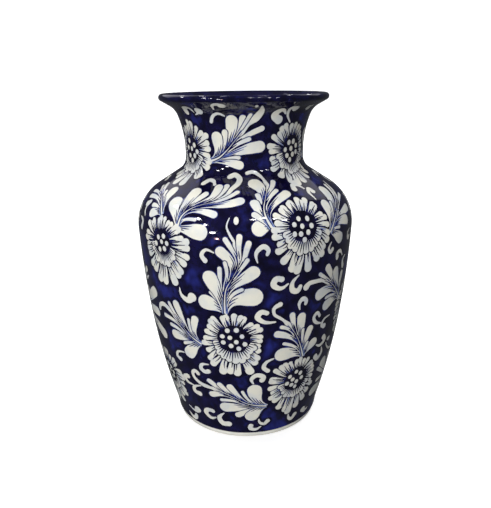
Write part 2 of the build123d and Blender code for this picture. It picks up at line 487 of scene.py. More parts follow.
def lobe_lines(line, widths, width, inner, draw):
    """Tapered brush lines that comb a lobe from its root outwards, closest on its inner side."""
    scale = float(SKIN.per_degree(line[:, 1].mean()))
    way = unit_rows(np.gradient(line * (scale, 1.0), axis=0))
    side = way[:, ::-1] * (-inner, inner)
    if width > 7.5:
        levels = (-0.16, 0.1, 0.34)
    elif width > 4.6:
        levels = (-0.05, 0.26)
    else:
        levels = (0.12,)
    knots = np.arange(LOBE_POINTS)
    for order, level in enumerate(levels):
        reach = draw.uniform(0.5, 0.6) + 0.13 * order
        shares = np.linspace(0.16, reach, 5) * (LOBE_POINTS - 1)
        spread = np.interp(shares, knots, widths)[:, None] * level
        path = places_at(shares, knots, line) + places_at(shares, knots, side) * spread / (scale, 1.0)
        piece = "leaf_lines" if draw.random() < 0.85 else "leaf_soft_lines"
        paint(piece, stroke(path, [0.6, 0.9, 1.1, 1.0, 0.3], 1.4))


def along_stem(stem, start, end, offset, widths):
    """A brush line beside the stem, nearer to it towards the stem's end."""
    line, run, scale = stem_run(stem)
    shares = np.linspace(start, end, 6)
    goals = shares * run[-1]
    ahead = places_at(np.minimum(goals + 1, run[-1]), run, line)
    behind = places_at(np.maximum(goals - 1, 0), run, line)
    side = unit_rows(ahead - behind)[:, ::-1] * (-1, 1) * (offset * (1 - 0.6 * shares))[:, None]
    return stroke((places_at(goals, run, line) + side) / (scale, 1.0), widths, 1.5)


def spray(stem, lobes, seed, curl=None, curl_widths=(), tail=0.12):
    """Leaf spray: white lobes that part from one stem, with blue brush lines that follow it.

    A lobe is (azimuth, climb, width of its end); a curl is the white tendril that carries
    the stem on."""
    draw = random.Random(seed)
    if curl:
        paint("leaf_lobes", stroke([stem[-2], stem[-1]] + curl, (1.2,) + curl_widths))
    paint("leaf_lobes", stroke(stem, [1.6, 5.0, 5.6, 2.4]))
    rows = [lobe_line(stem, lobe) + (lobe[2],) for lobe in lobes]
    rows.sort(key=lambda row: -row[1])
    for line, _, inner, width in rows:
        bulb = LOBE_BULB if width > 5 else LOBE_BULB**0.6
        widths = np.maximum(width * bulb, min(width, 1.8))
        paint("leaf_lines", stroke(line, widths + np.linspace(1.0, 1.6, LOBE_POINTS)))
        paint("leaf_lobes", stroke(line, widths))
        lobe_lines(line, widths, width, inner, draw)
    for piece, start, end, offset, widths in (
        ("leaf_washes", 0.0, 0.34, -1.5, [1.5, 1.5, 0.5]),
        ("leaf_washes", 0.0, 0.28, 1.6, [1.5, 1.5, 0.5]),
        ("leaf_lobes", 0.0, 0.94 - tail, 0.0, [1.2, 2.8, 2.8, 2.2, 1.0]),
        ("leaf_lines", 0.0, 1 - tail, 1.2, [0.8, 1.2, 1.5, 1.3, 0.4]),
        ("leaf_lines", 0.03, 0.9 - tail, -1.2, [0.7, 1.1, 1.3, 1.1, 0.3]),
    ):
        paint(piece, along_stem(stem, start, end, offset, widths))


SCROLL_FULLNESS = 1.02


def scroll(points, widths, head=None):
    """Comma of white, thin at its tail and fat at its head."""
    paint("scrolls", stroke(points, [SCROLL_FULLNESS * width for width in widths], 1.0))
    if head:
        paint("scrolls", blob(points[-1], head, None, 12))


# --- The front of the vase. The back is the same group, turned by half a circle.
def dots_round(disc, count=9):
    """Dots for a disc that is seen only in part: one in the middle, the others round it."""
    left, right, low, high = disc
    middle = ((left + right) / 2, (low + high) / 2)
    turns = [2.4 + k * 2 * math.pi / (count - 1) for k in range(count - 1)]
    return [middle] + [(middle[0] + (right - left) * 0.31 * math.cos(turn),
                        middle[1] + (high - low) * 0.31 * math.sin(turn)) for turn in turns]


def paint_flowers():
    flower(-24.7, 9.2, 72, 138, (-15.4, 2.1, 99.7, 125.8), 87, [
        (-9.8, 120.8), (-5.1, 121.5), (-12.6, 115), (-8.6, 114.1), (-2.3, 115.6),
        (-12.3, 109.1), (-5.3, 110.1), (-8.2, 106.2), (-0.8, 108.1), (-4.1, 103.7)], 11)
    flower(12.1, 45, 165, 232.5, (21.1, 36.6, 194, 218.8), 182, [
        (26.7, 212.6), (31.6, 211.8), (23.8, 208.4), (27.9, 206.4), (33.2, 205.7),
        (23.4, 201), (26.7, 200.5), (30.8, 201), (28.5, 195.6)], 12)
    flower(-60.4, -26.7, 152, 212, (-50, -38.1, 180.5, 201.4), 168, [
        (-46.6, 194), (-42.7, 195.8), (-44.2, 190.8), (-40.5, 190.5), (-48.8, 188.1),
        (-46, 184), (-42.5, 185.4)], 13)
    flower(11.8, 48.4, 23, 87.6, (23.1, 39.9, 51.5, 76.3), 42, [
        (31.1, 71.9), (34.5, 69), (26.9, 68.1), (29.2, 64.1), (36, 63.3),
        (25.4, 61), (32.4, 60.5), (28.9, 58.2), (31.8, 55.1)], 14)
    flower(-75, -28.8, 241, 303, (-69, -46.5, 268, 290), 258, [
        (-61, 286), (-52.8, 282.7), (-65, 280), (-57.5, 279.5), (-48.9, 277.6),
        (-61.5, 273.5), (-52.8, 274), (-57, 269.8)], 15)
    flower(20.6, 68, 242.5, 303, (36.8, 59.4, 266.5, 291), 258, [
        (44.3, 284.8), (50.5, 285.2), (40, 279.2), (47.7, 279.6), (55.3, 281.4),
        (42.3, 274.2), (50.2, 274.6), (55.5, 276.2), (46.2, 270.5)], 16)
    low_left = (-70.5, -54, 45, 69)
    flower(-80, -43.5, 22, 82, low_left, 36, dots_round(low_left), 17)
    right = (67.5, 83, 108, 131)
    flower(59, 93, 84, 147, right, 96, dots_round(right), 18)
    side = (82.5, 96, 192, 214)
    flower(73.5, 106, 166, 226, side, 180, dots_round(side, 8), 19)


NECK_SPRAY_STEM = [(-31, 271.5), (-23, 274.5), (-14, 282), (-4, 293), (4, 302)]
NECK_SPRAY_LOBES = [
    (-24.3, 290.6, 9.6), (-16.5, 295, 4.8), (-9.8, 304.6, 9.6), (-1, 307, 5.2), (5, 309.6, 2.8),
    (14.8, 297.8, 4.6), (13.4, 283.2, 9.4), (4.2, 289.4, 3.4), (-1.8, 289.6, 2.6),
    (-5, 274.6, 3), (-4.4, 268.6, 7)]


def shifted(places, move, squeeze, pivot):
    """The same places further round the vase, and squeezed about a pivot azimuth."""
    return [(pivot + (place[0] - pivot) * squeeze + move,) + tuple(place[1:]) for place in places]


def paint_upper_sprays():
    spray([(-10.5, 137), (-9.4, 158.6), (-5.0, 171.6), (-3.1, 182), (-4.3, 192), (-5.0, 197)], [
        (-20.1, 145.6, 13), (-17.4, 154.6, 2.4), (-17.2, 167.3, 12), (-12.2, 175.6, 3.6), (-9.6, 180.6, 3),
        (-11.4, 189.5, 8.6), (-9.2, 199.3, 4), (3.6, 151.7, 15.5), (-1.9, 158.2, 3),
        (3.6, 172.8, 10.6), (0.9, 183.2, 3.2), (1.5, 196.4, 4.6), (-2.7, 201.5, 4.6)], 21)
    scroll([(-5.4, 198.5), (-7.4, 204), (-8.7, 209.5), (-7.6, 216)], (2.2, 1.8, 1.2, 0.8))
    paint("scrolls", blob((-4.3, 213.9), 4, 6.4))
    spray([(-33.9, 205), (-33.0, 215), (-28.4, 222.7), (-21.8, 227.4), (-15.8, 230.8), (-11.2, 237.6)], [
        (-40.9, 224.6, 13.2), (-35.7, 229.8, 3), (-32.3, 238.6, 10), (-24.7, 237.4, 5.6),
        (-17.8, 246, 7), (-12.4, 247.8, 4.6), (-21.4, 203.6, 12.4), (-25, 213, 2.8),
        (-15.7, 218.3, 6), (-2.8, 231.4, 7.8), (-4.6, 241.2, 3.6)], 22,
        curl=[(-8.4, 245), (-4.6, 251.5), (-4.1, 257), (-7.8, 260.4), (-12, 258.4)],
        curl_widths=(3.2, 4.4, 4.6, 4.4, 4.6))
    spray([(-47, 213), (-54.5, 225.5), (-62, 232.5), (-69, 237)], [
        (-51.1, 236.2, 9.4), (-57.2, 233.8, 3), (-66, 240.3, 4.6), (-72, 229, 3.4),
        (-70, 223.6, 4.4), (-58.9, 218, 4), (-56.2, 211.6, 8.2)], 23)
    spray(NECK_SPRAY_STEM, NECK_SPRAY_LOBES, 24,
          curl=[(9.6, 307), (12.6, 313), (11.8, 320.5)], curl_widths=(3.2, 6.4, 5.4, 1.2), tail=0.1)
    spray([(12.5, 207.7), (9.6, 221), (12.6, 237), (15.4, 247.5), (14.8, 254.5)], [
        (6.6, 207.6, 12.2), (4.6, 218.6, 4.8), (5.2, 228.8, 7.4), (7.7, 237.5, 4.2), (7.2, 250.4, 11),
        (26, 236.9, 7.6), (20.6, 241.6, 3.6), (21.3, 251.8, 4)], 25,
        curl=[(12.4, 259.4), (7.6, 262.9), (2, 262)], curl_widths=(2.4, 3, 3.2, 3))
    spray([(45.3, 197), (53.4, 210.5), (61.8, 220.5), (67, 229)], [
        (47.7, 219.6, 9.6), (53, 220.4, 2.8), (57, 232.6, 10.2), (65.5, 236.5, 3.6), (70.8, 223, 3.4),
        (69, 210.2, 6.6), (62.6, 201.6, 8.6), (53.4, 198.4, 2.6), (54, 189, 9.8)], 26,
        curl=[(68.8, 235), (70.8, 240.5)], curl_widths=(2.6, 2.2, 1.2))


def paint_lower_sprays():
    spray([(-25.2, 104.4), (-32.6, 111.5), (-38.1, 121.5), (-45, 130)], [
        (-27.3, 127.6, 6.8), (-31.4, 126, 2.6), (-38.7, 137.4, 7.4), (-44, 136, 3.8),
        (-49.4, 122.3, 4), (-45.2, 115.2, 3.6), (-43, 106.6, 8.8), (-36.4, 101, 3), (-33.9, 92.2, 11.4)], 27,
        curl=[(-49.5, 132.6), (-53.4, 129.8), (-54.4, 125.6)], curl_widths=(4.4, 4.2, 3.6, 3.2))
    spray([(12.5, 39.3), (0, 43.4), (-10, 51.8), (-19.5, 57.4), (-24.5, 58.8)], [
        (4.6, 59, 12.8), (-2.8, 57.6, 2.8), (-10.4, 62.6, 6), (-16.8, 64, 4.8), (-23.2, 66.2, 5),
        (-22.6, 51.2, 6.4), (-16.6, 46.2, 3.4), (-14.4, 37.8, 11), (-6, 29.6, 6.4), (3, 28, 12)], 28,
        curl=[(-30, 60.8), (-34, 65.8), (-34.5, 71), (-32.3, 73.6), (-30.6, 71.4)],
        curl_widths=(4.4, 3.6, 3.2, 3.6, 4.2))
    spray([(33.9, 87.5), (29.4, 105.5), (23.5, 120.5), (19.6, 127.5)], [
        (19.7, 94.6, 12.8), (20.4, 105.2, 3), (16.3, 115.6, 6.2), (18.4, 121.8, 3.4), (24, 131.5, 5.2),
        (29.8, 127.6, 8.4), (31.6, 114.9, 3), (36.5, 113.6, 7), (35.9, 100.4, 2.8), (40.8, 98.2, 8.8)], 29,
        curl=[(17.4, 130.5), (14.2, 134.6), (13.9, 140), (17, 143.2)], curl_widths=(2.4, 2.6, 2.8, 4.4))
    spray([(61.8, 130.7), (53.4, 145.5), (46, 154), (40.5, 157)], [
        (40.7, 144, 10.4), (47.5, 131, 10), (46.2, 138.4, 2.8), (45.2, 166.4, 6.8), (39.5, 162.8, 3.4),
        (53, 159.6, 9), (61.1, 154.4, 5.4)], 30,
        curl=[(36.5, 157.5), (32.8, 157.2), (31, 154.6)], curl_widths=(3.6, 3.6, 4.2, 6))
    spray([(-87, 112), (-77, 120), (-69, 126)], [
        (-58.6, 120.4, 9), (-58.2, 140, 10), (-70, 137, 6), (-55.5, 100.5, 10.4), (-64.5, 108, 4),
        (-78.5, 131.5, 9), (-77.5, 104.5, 7)], 31)
    spray([(92, 37), (79, 41), (68, 48), (59.5, 56.5)], [
        (57.6, 66.6, 11.6), (52.4, 62.6, 4), (67, 70, 5.4), (76.6, 62.6, 9), (53.8, 36.4, 11.6),
        (56, 47.4, 4.4), (66.4, 28.6, 7.4), (78, 26.6, 8), (86, 56, 6)], 32)
    scroll([(71, 76), (63, 78.4), (57.4, 84), (55.2, 89)], (2.6, 2.4, 1.8, 1.2))
    paint("scrolls", blob((57.6, 92), 6.4, 4.2))
    spray(shifted(NECK_SPRAY_STEM, 100, 0.72, -31), shifted(NECK_SPRAY_LOBES, 100, 0.72, -31), 33, tail=0.1)


COMMA = (1.1, 2.4, 3.4, 4.2)
HOOK = (1.4, 3.8, 5)


def paint_lower_scrolls():
    scroll([(-34.7, 154), (-33.8, 147.6), (-30.2, 144.4), (-27.6, 147.8)], (1.2, 3.2, 5.4, 6.4), 8.2)
    scroll([(-14.6, 188.4), (-18.4, 190.4), (-20.6, 186), (-19.1, 181.6)], COMMA, 4.6)
    scroll([(5.5, 180.6), (4.9, 188.8), (8.2, 193.6), (10.4, 190.6), (9.9, 187)], (1, 3, 4.2, 3.4, 2.6))
    scroll([(20.6, 160.6), (16.8, 157.4), (13.2, 161), (14.4, 165.8), (17.2, 165.2)],
           (1.4, 3.6, 5, 5, 4.4), 5)
    scroll([(26.2, 166.6), (22.8, 160.6), (23.2, 154.4), (26, 153), (27.4, 156.4)],
           (1.2, 3.6, 5, 4.6, 3.6), 3.8)
    scroll([(14.9, 127.6), (8.8, 128.6), (5.6, 133.4), (7.4, 137.6), (10.2, 136.6)],
           (1.4, 3.4, 4.8, 4.6, 3.8), 4.2)
    scroll([(-22.3, 84.2), (-26.6, 82.8), (-27.6, 78.4), (-25.2, 75.6), (-22.9, 76.8)],
           (1.2, 3, 4, 4.2, 4), 4.6)
    scroll([(3.9, 66.4), (2.7, 71.6), (6, 75.8), (9.7, 73.2), (8.9, 69.9)], (1.2, 3.4, 4.4, 4.4, 4.2), 5)
    scroll([(15, 91.6), (10.9, 88.6), (9.6, 83.6), (12, 79.6)], (1.4, 3, 3.8, 4), 4.4)
    scroll([(-38.3, 90.4), (-43.8, 88.3), (-45.4, 83.4), (-43, 81)], COMMA, 5)
    scroll([(-36.2, 56), (-41.2, 57.4), (-42.8, 61.8), (-39.8, 64)], (1.2, 3.4, 4.4, 4.6), 5.4)
    scroll([(-30.2, 57.8), (-36, 53.8), (-36.2, 48.8), (-32.6, 47.6)], (1.2, 3.2, 4.6, 5), 5.6)
    scroll([(-48, 24.4), (-44.4, 21.4), (-40.6, 21.8), (-38.8, 24.6)], (1, 2.6, 4.6, 6.4), 7.6)
    scroll([(-51, 14.8), (-47.4, 10.8), (-43.8, 11.8), (-42.6, 15.4)], (1.2, 3.8, 4.6, 4))
    scroll([(-23.4, 21.8), (-27.6, 20), (-31, 25), (-28.8, 29.6), (-25, 29.6)],
           (1.6, 3.8, 4.8, 4.6, 4.4), 5)
    scroll([(-16.4, 29.6), (-20.4, 23), (-18.6, 16.6), (-13.9, 16.6)], (1.2, 4.4, 5.8, 5.4), 6.2)
    scroll([(8.2, 23.4), (9.2, 18.4), (12.4, 16.4), (14.8, 19.6)], (1.2, 2.6, 3.4, 4.2), 4.8)
    scroll([(9.8, 13.4), (6, 10.6), (2.2, 12.2), (2.6, 15.4)], (1.4, 3, 4.2, 4.2), 4.6)
    scroll([(31.6, 21), (32.8, 15.8), (35.6, 13.8), (38.2, 17.4)], (1.2, 3, 4, 4.6), 5.4)
    scroll([(54.4, 15.4), (50.4, 14.6), (47.2, 18)], (1.4, 4, 5.8), 6.8)
    scroll([(28.2, 135.4), (27.6, 141.2), (29.5, 144.8), (31.6, 142.6), (31.5, 139.6)],
           (1.2, 3.2, 4, 3.6, 3.2))
    scroll([(42.9, 123), (40.5, 127), (38.4, 123.4), (40.3, 118.2), (44.6, 115)],
           (2.8, 3.2, 3.4, 3.2, 1.6))
    scroll([(52.8, 118.4), (47.6, 117.2), (46, 112.6), (48.6, 110.2)], COMMA, 5.2)
    scroll([(44.2, 93.2), (48.4, 90.8), (52, 94.2), (50.2, 98.2)], (1.4, 3.4, 4.6, 5), 5.4)
    scroll([(50.2, 87.4), (51.3, 80.6), (48, 77), (45.4, 80.4)], (1.2, 3.6, 4.6, 5), 5.8)


def paint_shoulder_scrolls():
    scroll([(41.4, 239.4), (38.2, 245), (35, 245.2), (33.7, 240.8)], (1.4, 3.4, 4.4, 4.6), 5.4)
    scroll([(43.1, 226.4), (42.4, 235), (45.2, 238.4), (46.2, 234.8)], (1.2, 3, 4, 4.4), 5)
    scroll([(46.3, 188), (44.5, 183), (46.2, 179.6), (47.6, 181.4)], (1.2, 2.6, 3.4, 3.8), 4.2)
    scroll([(58.8, 171.6), (55.6, 177), (52.6, 175.6), (53, 172.2)], (1.2, 3, 4, 4.4), 4.8)
    scroll([(63.4, 169.9), (60.4, 166.4), (61.6, 160.6)], (1.4, 3.2, 4.4), 4.6)
    scroll([(67, 192), (64.3, 188.6), (65, 184.8), (67.2, 184.4)], COMMA, 4.8)
    scroll([(-31, 249.4), (-27.6, 253.8), (-24, 252.8), (-21.8, 249)], (4.6, 4, 3.4, 1.8), 3)
    scroll([(-63, 206.6), (-66, 213), (-63.8, 219.6), (-67.6, 216.4)], COMMA, 4.8)
    scroll([(-69, 204), (-64.6, 201.4), (-65.6, 196)], (1.2, 3.4, 4.4), 4.8)
    scroll([(-73.5, 160), (-69.8, 154.4), (-66, 157.6)], HOOK, 5.4)


def paint_neck_scrolls():
    scroll([(-41.4, 311.4), (-43.6, 317.4), (-47.8, 316.4), (-50.2, 311.6)], (1.2, 3, 4.6, 5.6), 6)
    scroll([(-41, 309), (-38.4, 310.4), (-35.4, 313.4)], (0.8, 1.6, 5), 7.6)
    scroll([(-21.7, 315.4), (-20.6, 321.6), (-17.4, 323.6), (-14.4, 321.2)], (1.2, 2.6, 4, 5), 6.4)
    scroll([(-27.2, 303.4), (-24.6, 308.4), (-19.9, 310.8), (-15, 308.4)], (2.8, 2.6, 2.4, 1.2))
    paint("scrolls", blob((8.3, 320.3), 2.8, 3.8))
    scroll([(33.8, 309.6), (29.2, 313.8), (24.2, 308.6), (28.8, 304.4)], (1.6, 4, 6, 6.8), 7.4)
    scroll([(41.2, 301.8), (36.2, 309), (36.3, 316), (41, 315)], (1.2, 2.4, 3.4, 5), 6.8)
    scroll([(60.5, 318), (56.8, 314.8)], (1.6, 4.6), 6.4)


def paint_side_scrolls():
    """Between the front group and the one behind, where the photo shows nothing."""
    scroll([(101, 100), (104.6, 93), (109.6, 96.4)], HOOK, 5.6)
    scroll([(97, 84.6), (91.6, 80.4), (93.2, 75.6)], HOOK, 5.4)
    scroll([(104.6, 160.6), (100.4, 155.4), (96.4, 158.8)], HOOK, 5.8)
    scroll([(84, 160.4), (79.8, 155.4), (76, 159)], (1.4, 3.6, 4.8), 5.4)
    scroll([(70.4, 30), (66.6, 24.6), (70.4, 19), (74.6, 22)], (1.4, 3.6, 5, 5.6), 6.4)
    scroll([(86, 17.6), (81.4, 12.8), (78.4, 16.6)], HOOK, 6)
    scroll([(98.6, 25), (94.2, 20), (97, 14.6), (100.6, 17.6)], (1.4, 3.6, 5, 5.4), 6)
    scroll([(74.6, 247.2), (79.4, 252.6), (84, 248.4)], (1.4, 3.8, 4.6), 5)
    scroll([(91.6, 240.6), (96.4, 246.4), (101, 243)], (1.4, 3.8, 4.6), 5)
    scroll([(88, 232.4), (83.6, 238), (86.4, 242.6)], (1.4, 3.4, 4.4), 4.8)
    scroll([(98, 314), (102.4, 319), (106, 315)], (1.4, 3.6, 4.6), 5.4)
    scroll([(74.6, 315), (79, 320), (83.6, 316.4)], (1.4, 3.6, 4.6), 5.4)
    scroll([(116, 152), (111.2, 148), (109.6, 153)], (1.4, 3.4, 4.4), 4.8)


def half_turned():
    """The painted group again on the other side, with the shapes that cross the back joined up."""
    front = list(PAINTED)
    for piece, outline in front:
        PAINTED.append((piece, outline + (180.0, 0.0)))
    copies = []
    for piece, outline in PAINTED:
        copies.append((piece, outline))
        if outline[:, 0].max() > 178:
            copies.append((piece, outline - (360.0, 0.0)))
        if outline[:, 0].min() < -178:
            copies.append((piece, outline + (360.0, 0.0)))
    return copies


# --- From painted shapes to glaze: every colour is its own thin solid, cut out of the skin
PLANE = 1.3  # millimetres for one degree in the plane where the skin is cut
NEAR_OUTLINE = 0.7  # the skin's own points keep this far from the painted outlines
NECK_SEAM = float(np.interp(NECK[0].at(SHOULDER_PITCH).y, SKIN.height[:-1], SKIN.climb[:-1]))


def cut_skin(shapes):
    """Corners and triangles of the skin, the shape that shows on each triangle, and a search
    tree of the painted outlines."""
    points, edges = [], []

    def chain(places, closed):
        first = len(points)
        points.extend(Vector((float(a) * PLANE, float(c))) for a, c in places)
        count = len(places)
        edges.extend((first + k, first + (k + 1) % count) for k in range(count - 1 + closed))

    low, high = SKIN.start, SKIN.end
    for _, outline in shapes:
        outline[:, 1] = np.clip(outline[:, 1], low - 2, high + 2)
        chain(outline, True)
    tree = kdtree.KDTree(len(points))
    for k, point in enumerate(points):
        tree.insert((point.x, point.y, 0), k)
    tree.balance()
    around = int(360 * PLANE / PAINT_GRID)
    azimuths = np.linspace(-180, 180, around + 1)
    for climb in (low, NECK_SEAM, high):
        chain([(a, climb) for a in azimuths], False)
    for azimuth in (-180, 180):
        chain([(azimuth, c) for c in SKIN.rows], False)
    half = 180 / around
    for row, climb in enumerate(SKIN.rows[1:-1]):
        if abs(climb - NECK_SEAM) < NEAR_OUTLINE:
            continue
        for azimuth in azimuths[:-1] + (half * 1.5 if row % 2 else half * 0.5):
            place = Vector((float(azimuth) * PLANE, climb))
            if tree.find((place.x, place.y, 0))[2] > NEAR_OUTLINE:
                points.append(place)

    corners, _, faces, _, _, _ = delaunay_2d_cdt(points, edges, [], 0, 1e-4, False)
    corners = np.array([(c.x, c.y) for c in corners])
    triangles = np.array(faces)
    middles = corners[triangles].mean(axis=1)
    kept = (np.abs(middles[:, 0]) < 180 * PLANE) & (middles[:, 1] > low) & (middles[:, 1] < high)
    triangles, middles = triangles[kept], middles[kept]
    a, b, c = (corners[triangles[:, k]] for k in range(3))
    back = (b[:, 0] - a[:, 0]) * (c[:, 1] - a[:, 1]) < (b[:, 1] - a[:, 1]) * (c[:, 0] - a[:, 0])
    triangles[back] = triangles[back][:, ::-1]
    return corners, triangles, top_shapes(shapes, middles), tree


def top_shapes(shapes, middles):
    """The last shape painted over each place, or -1 for the bare ground."""
    order = np.argsort(middles[:, 0])
    across = middles[order]
    top = np.full(len(middles), -1)
    for index, (_, outline) in enumerate(shapes):
        start = outline * (PLANE, 1.0)
        end = np.roll(start, -1, axis=0)
        first, last = np.searchsorted(across[:, 0], (start[:, 0].min(), start[:, 0].max()))
        chosen = order[first:last]
        climb = middles[chosen, 1]
        chosen = chosen[(climb > start[:, 1].min()) & (climb < start[:, 1].max())]
        x, y = middles[chosen, 0][:, None], middles[chosen, 1][:, None]
        left = (end[:, 0] - start[:, 0]) * (y - start[:, 1]) - (x - start[:, 0]) * (end[:, 1] - start[:, 1])
        rising = (start[:, 1] <= y) & (end[:, 1] > y) & (left > 0)
        falling = (start[:, 1] > y) & (end[:, 1] <= y) & (left < 0)
        winding = rising.sum(axis=1) - falling.sum(axis=1)
        top[chosen[winding != 0]] = index
    return top


def joined_at_back(corners, triangles):
    """The same triangles, with the two edges of the skin sharing their corners at the back."""
    edge = 180 * PLANE
    tie = np.arange(len(corners))
    right = np.flatnonzero(np.abs(corners[:, 0] - edge) < 1e-3)
    left = np.flatnonzero(np.abs(corners[:, 0] + edge) < 1e-3)
    for index in right:
        gaps = np.abs(corners[left, 1] - corners[index, 1])
        nearest = int(np.argmin(gaps))
        if gaps[nearest] < 1e-2:
            tie[index] = left[nearest]
    return tie[triangles]


def placed(name, data):
    """A new object in the scene, with the given data."""
    thing = bpy.data.objects.new(name, data)
    bpy.context.scene.collection.objects.link(thing)
    return thing


def glaze_piece(name, corners, flat, joined, tree):
    """Closed shell of glaze over the given triangles."""
    whole = np.all(joined != np.roll(joined, -1, axis=1), axis=1)
    flat, joined = flat[whole], joined[whole]
    used, local = np.unique(joined, return_inverse=True)
    top = local.reshape(-1, 3)
    azimuth, climb = corners[used, 0] / PLANE, corners[used, 1]
    outer, normals = SKIN.place(azimuth, climb)
    inner, _ = SKIN.place(azimuth, climb, GLAZE)
    count = len(used)

    starts = top.reshape(-1)
    ends = np.roll(top, -1, axis=1).reshape(-1)
    there = starts.astype(np.int64) * count + ends
    back = ends.astype(np.int64) * count + starts
    rim = np.flatnonzero(~np.isin(there, back))
    walls = np.stack([ends[rim], starts[rim], starts[rim] + count, ends[rim] + count], axis=-1)

    mesh = bpy.data.meshes.new(name)
    bottom = top[:, ::-1] + count
    faces = top.tolist() + bottom.tolist() + walls.tolist()
    mesh.from_pydata(np.concatenate([outer, inner]).tolist(), [], faces)
    mesh.polygons.foreach_set("use_smooth", np.ones(len(mesh.polygons), dtype=bool))

    places = corners[flat] / (360 * PLANE) + (0.5, 0.05)
    spread = places.reshape(-1, 2)
    loops = np.concatenate([spread, places[:, ::-1].reshape(-1, 2), np.repeat(spread[rim], 4, axis=0)])
    layer = mesh.uv_layers.new(name="OFBake")
    layer.data.foreach_set("uv", loops.astype(np.float32).ravel())

    reach = np.concatenate([outer, inner])[walls]
    side = unit_rows(np.cross(reach[:, 1] - reach[:, 0], reach[:, 3] - reach[:, 0]))
    corner_normals = np.concatenate([
        normals[top].reshape(-1, 3), -normals[top[:, ::-1]].reshape(-1, 3), np.repeat(side, 4, axis=0)])
    mesh.normals_split_custom_set(corner_normals.tolist())

    away = mesh.attributes.new("away", "FLOAT", "POINT")
    gaps = [tree.find((c[0], c[1], 0))[2] for c in corners[used]]
    away.data.foreach_set("value", np.array(gaps + gaps, dtype=np.float32))
    return placed(name, mesh)


def painted_pieces():
    """The painted coat as pieces: two of ground, and one for each kind of brushwork."""
    paint_lower_scrolls()
    paint_shoulder_scrolls()
    paint_neck_scrolls()
    paint_side_scrolls()
    paint_upper_sprays()
    paint_lower_sprays()
    paint_flowers()
    shapes = [s for s in half_turned() if s[1][:, 0].min() < 180 and s[1][:, 0].max() > -180]
    corners, triangles, top, tree = cut_skin(shapes)
    joined = joined_at_back(corners, triangles)
    kinds = sorted({piece for piece, _ in shapes})
    kind_of = np.array([kinds.index(piece) for piece, _ in shapes] + [-1])[top]
    climb = corners[triangles].mean(axis=1)[:, 1]
    parts = {kind: kind_of == index for index, kind in enumerate(kinds)}
    ground = kind_of == -1
    parts["body_ground"] = ground & (climb < NECK_SEAM)
    parts["neck_ground"] = ground & (climb >= NECK_SEAM)
    return {name: glaze_piece(name, corners, triangles[mask], joined[mask], tree)
            for name, mask in parts.items() if mask.any()}


# --- Plain turned pieces
TURNS = 288


def turned(name, points, turns=TURNS, closed=True):
    """A ring, bowl or dish: a section of (radius, height) points, turned about the axis."""
    rows = np.array([p for k, p in enumerate(points) if (p - points[k - 1]).length > 1e-4])
    count = len(rows)
    angles = np.arange(turns)[:, None] * 2 * math.pi / turns
    radius, height = rows[:, 0], rows[:, 1]
    around = np.stack([np.sin(angles) * radius, -np.cos(angles) * radius,
                       np.ones((turns, 1)) * height], axis=-1) * MM
    faces = []
    for turn in range(turns):
        here, there = turn * count, (turn + 1) % turns * count
        for row in range(count - 1 + closed):
            after = (row + 1) % count
            faces.append((here + row, there + row, there + after, here + after))
    mesh = bpy.data.meshes.new(name)
    mesh.from_pydata(around.reshape(-1, 3).tolist(), [], faces)
    return placed(name, mesh)


def finished(piece, sharp=35.0):
    """Merged poles, outward faces and smooth shading up to an angle."""
    work = bmesh.new()
    work.from_mesh(piece.data)
    bmesh.ops.remove_doubles(work, verts=work.verts, dist=1e-7)
    bmesh.ops.dissolve_degenerate(work, edges=work.edges, dist=1e-8)
    bmesh.ops.recalc_face_normals(work, faces=work.faces)
    work.to_mesh(piece.data)
    work.free()
    piece.data.shade_smooth()
    piece.data.set_sharp_from_angle(angle=math.radians(sharp))
    return piece


def lip_piece():
    outside = section([TIP], 0) + section([NECK[-2]], WALL)[::-1]
    under = section([TIP], GLAZE) + section([NECK[-2]], WALL - GLAZE)[::-1]
    return finished(turned("lip_band", outside + under[::-1]))


def inside_piece():
    arcs = [HEEL] + WALLS + [SHOULDER] + NECK[:2]
    surface = section(arcs, WALL, 3.0)
    under = section(arcs, WALL - GLAZE, 3.0)
    middle = [Vector((0, under[0].y)), Vector((0, surface[0].y))]
    return finished(turned("inside_coat", middle + surface + under[::-1]))


def foot_band_piece():
    outer, inner = FOOT_RADIUS, FOOT_RADIUS - GLAZE
    lowest = UNGLAZED_RIM
    bead = 0.2  # the wiped edge of the glaze is a little rounded
    rows = [Vector((inner, lowest)), Vector((outer - bead, lowest)), Vector((outer, lowest + bead)),
            Vector((outer, FOOT_RING_HEIGHT)), Vector((inner, FOOT_RING_HEIGHT))]
    return finished(turned("foot_band", rows), 50)


# --- Materials
PAINTED_GLOSS = 0.07  # roughness of the glaze over the painting


def linear(red, green, blue):
    """A display colour, 0 to 255, as the shader's linear colour."""
    values = [v / 255 for v in (red, green, blue)]
    return [v / 12.92 if v <= 0.04045 else ((v + 0.055) / 1.055)**2.4 for v in values] + [1.0]


